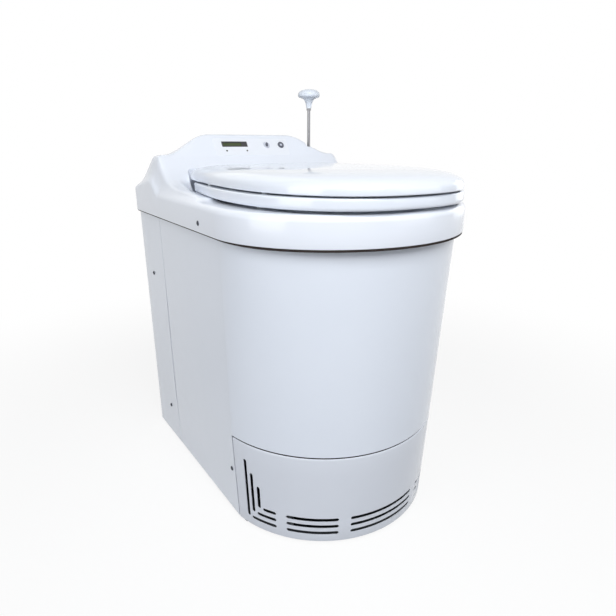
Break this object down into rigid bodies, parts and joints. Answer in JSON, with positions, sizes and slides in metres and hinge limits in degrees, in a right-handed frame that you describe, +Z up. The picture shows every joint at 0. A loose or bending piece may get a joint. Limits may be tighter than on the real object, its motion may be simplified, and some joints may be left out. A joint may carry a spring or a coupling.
{
  "type": "incinerating toilet",
  "caption": "Free-standing electric incinerating toilet: domed lid, drop-flap bowl worked by a plunger, burning chamber over an ash pan, rear exhaust spigot.",
  "frame": {"origin": "on the floor, under the middle of the outline", "axes": "+Z up, the nose of the seat towards -Y, the plunger on the +X side, the exhaust spigot towards +Y"},
  "size_m": [0.3936, 0.591, 0.671],
  "materials": {
    "white_sheet": "gloss enamel",
    "white_moulding": "gloss",
    "white_seat": "gloss",
    "white_rubber": "satin",
    "zinc_sheet": "zinc plated",
    "black_rubber": "matt",
    "stainless": "stainless, satin",
    "liner_steel": "heat tinted",
    "bright_steel": "bright",
    "bronze": "machined",
    "seal_rubber": "matt",
    "black_plastic": "matt",
    "fibre": "ceramic fibre",
    "element": "sheathed, oxidised",
    "ceramic_block": "matt",
    "motor": "satin black",
    "board": "satin",
    "display": "clear, dark behind",
    "overlay": "satin film",
    "button": "satin"
  },
  "bodies": {
    "cabinet": {"cabinet": "white_sheet", "rear_cover": "white_sheet", "base_tray": "zinc_sheet", "levelling_feet": "black_rubber", "chamber_stand": "zinc_sheet", "top_cover": "white_moulding", "cover_magnet": "black_plastic", "bowl": "stainless", "bowl_seal": "seal_rubber", "chute": "zinc_sheet", "shaft_bushes": "bronze", "rod_guide": "white_moulding", "rack_guide": "zinc_sheet", "return_spring": "bright_steel", "hinge_brackets": "white_moulding", "hinge_pins": "bright_steel", "pan_runners": "zinc_sheet", "chamber_liner": "liner_steel", "chamber_insulation": "fibre", "chamber_jacket": "zinc_sheet", "heating_element": "element", "element_terminals": "ceramic_block", "temperature_probe": "bright_steel", "chamber_outlet": "stainless", "catalyst_housing": "stainless", "catalyst_core": "ceramic_block", "fan_housing": "black_plastic", "fan_motor": "motor", "outlet_box": "zinc_sheet", "exhaust_spigot": "stainless", "control_board": "board", "display_module": "black_plastic", "display_window": "display", "panel_overlay": "overlay", "button_switches": "black_plastic", "power_box": "zinc_sheet", "mains_inlet": "black_rubber", "side_screws": "bright_steel", "rim_screws": "bright_steel"},
    "plunger": {"plunger_rack": "bright_steel", "plunger_arm": "bright_steel", "plunger_rod": "bright_steel", "plunger_knob": "white_moulding"},
    "flap_left": {"flap_left": "stainless", "flap_shaft_left": "bright_steel", "sector_gear_left": "bronze"},
    "flap_right": {"flap_right": "stainless", "flap_shaft_right": "bright_steel", "sector_gear_right": "bronze"},
    "lid": {"lid": "white_seat", "lid_bumpers": "white_rubber"},
    "seat": {"seat_ring": "white_seat", "seat_bumpers": "white_rubber"},
    "button_left": {"button_left": "button"},
    "button_right": {"button_right": "button"},
    "front_cover": {"front_cover": "white_sheet"},
    "ash_pan": {"ash_pan": "stainless", "ash_pan_handle": "black_plastic"},
    "fan": {"fan_impeller": "black_plastic", "fan_shaft": "bright_steel"}
  },
  "joints": [
    {"name": "plunger_slide", "type": "slide", "parent": "cabinet", "child": "plunger", "axis": [0, 0, -1], "range_m": [0, 0.0654], "stiffness_N_per_m": 220, "springref_m": -0.08, "deforming": ["return_spring"]},
    {"name": "flap_left_hinge", "type": "hinge", "parent": "cabinet", "child": "flap_left", "pos_m": [-0.066, -0.078, 0.352], "axis": [0, 1, 0], "range_deg": [0, 75]},
    {"name": "flap_right_hinge", "type": "hinge", "parent": "cabinet", "child": "flap_right", "pos_m": [0.066, -0.078, 0.352], "axis": [0, -1, 0], "range_deg": [0, 75]},
    {"name": "lid_hinge", "type": "hinge", "parent": "cabinet", "child": "lid", "pos_m": [0, 0.0965, 0.514], "axis": [-1, 0, 0], "range_deg": [0, 95]},
    {"name": "seat_hinge", "type": "hinge", "parent": "cabinet", "child": "seat", "pos_m": [0, 0.0965, 0.514], "axis": [-1, 0, 0], "range_deg": [0, 95]},
    {"name": "button_left_press", "type": "slide", "parent": "cabinet", "child": "button_left", "axis": [0, 0.8387, -0.5446], "range_m": [0, 0.0012], "stiffness_N_per_m": 600, "springref_m": -0.0008},
    {"name": "button_right_press", "type": "slide", "parent": "cabinet", "child": "button_right", "axis": [0, 0.8387, -0.5446], "range_m": [0, 0.0012], "stiffness_N_per_m": 600, "springref_m": -0.0008},
    {"name": "front_cover_slide", "type": "slide", "parent": "cabinet", "child": "front_cover", "axis": [0, -1, 0], "range_m": [0, 0.32]},
    {"name": "ash_pan_slide", "type": "slide", "parent": "cabinet", "child": "ash_pan", "axis": [0, -1, 0], "range_m": [0, 0.25]},
    {"name": "fan_spin", "type": "hinge", "parent": "cabinet", "child": "fan", "pos_m": [0, 0.16, 0.215], "axis": [0, 1, 0], "continuous": true}
  ],
  "couplings": [
    {"joint": "flap_left_hinge", "follows": "plunger_slide", "rad_per_m": 20},
    {"joint": "flap_right_hinge", "follows": "plunger_slide", "rad_per_m": 20},
    {"joint": "seat_hinge", "follows": "lid_hinge", "ratio": 1},
    {"joint": "ash_pan_slide", "follows": "front_cover_slide", "ratio": 0.78125}
  ]
}
